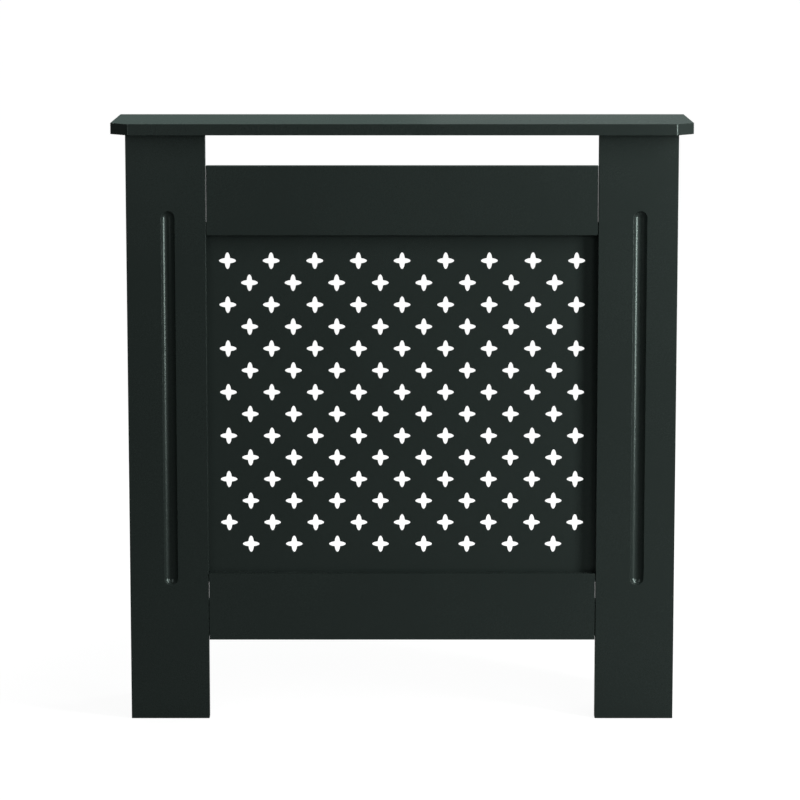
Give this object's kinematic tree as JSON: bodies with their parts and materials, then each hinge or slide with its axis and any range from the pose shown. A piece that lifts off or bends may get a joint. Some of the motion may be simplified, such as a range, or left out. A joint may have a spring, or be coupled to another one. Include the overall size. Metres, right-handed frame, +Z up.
{
  "type": "radiator cover cabinet",
  "caption": "Wall-side radiator cover of dark satin painted board: clipped-corner shelf, fluted stiles, plain rails and a pierced cross-pattern grille, open at the back.",
  "frame": {"origin": "on the floor at the middle of the plan, halfway between the shelf's front edge and the wall plane", "axes": "+Z up, -Y the front with the grille, +Y the wall, +X to the right seen from the front"},
  "size_m": [0.78, 0.19, 0.815],
  "materials": {
    "painted_board": "dark green-black satin paint on MDF",
    "beech": "bare beech",
    "zinc": "zinc plated or die-cast zinc, dull",
    "black_steel": "black phosphate steel"
  },
  "bodies": {
    "root": {"top_shelf": "painted_board", "top_rail": "painted_board", "bottom_rail": "painted_board", "grille_panel": "painted_board", "grille_screw_left_lower": "black_steel", "grille_screw_left_middle": "black_steel", "grille_screw_left_upper": "black_steel", "grille_screw_right_lower": "black_steel", "grille_screw_right_middle": "black_steel", "grille_screw_right_upper": "black_steel", "grille_screw_top_left": "black_steel", "grille_screw_top_right": "black_steel", "grille_screw_bottom_left": "black_steel", "grille_screw_bottom_right": "black_steel", "left_stile": "painted_board", "left_side_panel": "painted_board", "left_grille_batten": "painted_board", "left_corner_block": "painted_board", "left_wall_bracket": "zinc", "left_stile_cam_lower": "zinc", "left_stile_cam_upper": "zinc", "left_top_cam_front": "zinc", "left_top_cam_rear": "zinc", "left_stile_bolt_lower": "zinc", "left_stile_bolt_upper": "zinc", "left_top_bolt_front": "zinc", "left_top_bolt_rear": "zinc", "left_stile_dowel_lower": "beech", "left_stile_dowel_upper": "beech", "left_top_dowel_middle": "beech", "batten_screw_left_lower": "black_steel", "batten_screw_left_upper": "black_steel", "block_screw_left_rail": "black_steel", "block_screw_left_stile": "black_steel", "bracket_screw_left_front": "zinc", "bracket_screw_left_rear": "zinc", "right_stile": "painted_board", "right_side_panel": "painted_board", "right_grille_batten": "painted_board", "right_corner_block": "painted_board", "right_wall_bracket": "zinc", "right_stile_cam_lower": "zinc", "right_stile_cam_upper": "zinc", "right_top_cam_front": "zinc", "right_top_cam_rear": "zinc", "right_stile_bolt_lower": "zinc", "right_stile_bolt_upper": "zinc", "right_top_bolt_front": "zinc", "right_top_bolt_rear": "zinc", "right_stile_dowel_lower": "beech", "right_stile_dowel_upper": "beech", "right_top_dowel_middle": "beech", "batten_screw_right_lower": "black_steel", "batten_screw_right_upper": "black_steel", "block_screw_right_rail": "black_steel", "block_screw_right_stile": "black_steel", "bracket_screw_right_front": "zinc", "bracket_screw_right_rear": "zinc"}
  },
  "joints": []
}
